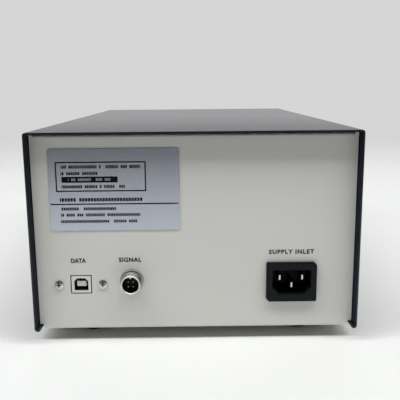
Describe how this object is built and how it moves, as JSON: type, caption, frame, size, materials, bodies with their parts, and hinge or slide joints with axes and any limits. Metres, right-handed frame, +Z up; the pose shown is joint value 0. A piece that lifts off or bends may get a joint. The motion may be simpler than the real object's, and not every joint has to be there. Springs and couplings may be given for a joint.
{
  "type": "coating thickness gauge",
  "caption": "Bench coating thickness gauge in a folded steel box, with mains inlet, data socket and threaded sensor socket on the rear, and display, keys and power switch on the front.",
  "frame": {"origin": "middle of the underside, on the table between the feet", "axes": "+Z up, front panel faces -Y, rear panel faces +Y, +X to the right seen from the front"},
  "size_m": [0.203, 0.353, 0.132],
  "materials": {
    "cover_paint": "fine-textured satin dark blue-grey paint",
    "panel_paint": "satin warm light grey paint",
    "zinc": "bright zinc plate",
    "nickel": "nickel plate",
    "brass": "plain",
    "foot_rubber": "matt moulded rubber",
    "plate_silver": "satin silver foil",
    "black_plastic": "moulded",
    "white_plastic": "moulded",
    "key_plastic": "moulded",
    "window": "clear acrylic",
    "display": "dark display cell",
    "board_green": "solder resist",
    "sink_black": "black anodised",
    "capacitor_sleeve": "shrunk sleeve",
    "core_steel": "varnished laminations",
    "coil_copper": "varnished copper wire",
    "lead_sheath": "flexible sheath",
    "ribbon_grey": "flat cable"
  },
  "bodies": {
    "case": {"chassis": "panel_paint", "top_cover": "cover_paint", "cover_screws": "zinc", "foot_front_left": "foot_rubber", "foot_front_right": "foot_rubber", "foot_rear_left": "foot_rubber", "foot_rear_right": "foot_rubber", "foot_screws": "zinc", "foot_nuts": "zinc", "rating_plate": "plate_silver", "inlet_housing": "black_plastic", "inlet_line_pin": "nickel", "inlet_neutral_pin": "nickel", "inlet_earth_pin": "nickel", "data_socket_shell": "nickel", "data_socket_tongue": "white_plastic", "data_socket_contacts": "brass", "data_socket_carrier": "black_plastic", "data_socket_screws": "nickel", "data_socket_nuts": "zinc", "sensor_barrel": "nickel", "sensor_insert": "black_plastic", "sensor_pins": "nickel", "sensor_washer": "zinc", "sensor_nut": "nickel", "display_window": "window", "display_frame": "core_steel", "display_glass": "display", "display_board": "board_green", "display_spacers": "zinc", "key_switches": "black_plastic", "key_board": "board_green", "key_spacers": "zinc", "panel_board_screws": "zinc", "power_switch_housing": "black_plastic", "power_switch_terminals": "brass", "main_board": "board_green", "main_board_standoffs": "brass", "main_board_screws": "zinc", "heatsink": "sink_black", "power_transistor": "black_plastic", "smoothing_capacitors": "capacitor_sleeve", "processor": "black_plastic", "transformer_core": "core_steel", "transformer_winding": "coil_copper", "transformer_frame": "zinc", "transformer_screws": "zinc", "mains_lead": "lead_sheath", "data_lead": "lead_sheath", "sensor_lead": "lead_sheath", "display_ribbon": "ribbon_grey", "key_ribbon": "ribbon_grey"},
    "key_menu": {"key_menu": "key_plastic"},
    "key_up": {"key_up": "key_plastic"},
    "key_down": {"key_down": "key_plastic"},
    "key_enter": {"key_enter": "key_plastic"},
    "key_start": {"key_start": "key_plastic"},
    "key_stop": {"key_stop": "key_plastic"},
    "rocker": {"power_rocker": "black_plastic"}
  },
  "joints": [
    {"name": "key_menu_press", "type": "slide", "parent": "case", "child": "key_menu", "axis": [0, 1, 0], "range_m": [0, 0.0012], "stiffness_N_per_m": 600},
    {"name": "key_up_press", "type": "slide", "parent": "case", "child": "key_up", "axis": [0, 1, 0], "range_m": [0, 0.0012], "stiffness_N_per_m": 600},
    {"name": "key_down_press", "type": "slide", "parent": "case", "child": "key_down", "axis": [0, 1, 0], "range_m": [0, 0.0012], "stiffness_N_per_m": 600},
    {"name": "key_enter_press", "type": "slide", "parent": "case", "child": "key_enter", "axis": [0, 1, 0], "range_m": [0, 0.0012], "stiffness_N_per_m": 600},
    {"name": "key_start_press", "type": "slide", "parent": "case", "child": "key_start", "axis": [0, 1, 0], "range_m": [0, 0.0012], "stiffness_N_per_m": 600},
    {"name": "key_stop_press", "type": "slide", "parent": "case", "child": "key_stop", "axis": [0, 1, 0], "range_m": [0, 0.0012], "stiffness_N_per_m": 600},
    {"name": "power_rocker_tilt", "type": "hinge", "parent": "case", "child": "rocker", "pos_m": [0.072, -0.1685, 0.029], "axis": [-1, 0, 0], "range_deg": [0, 20]}
  ]
}
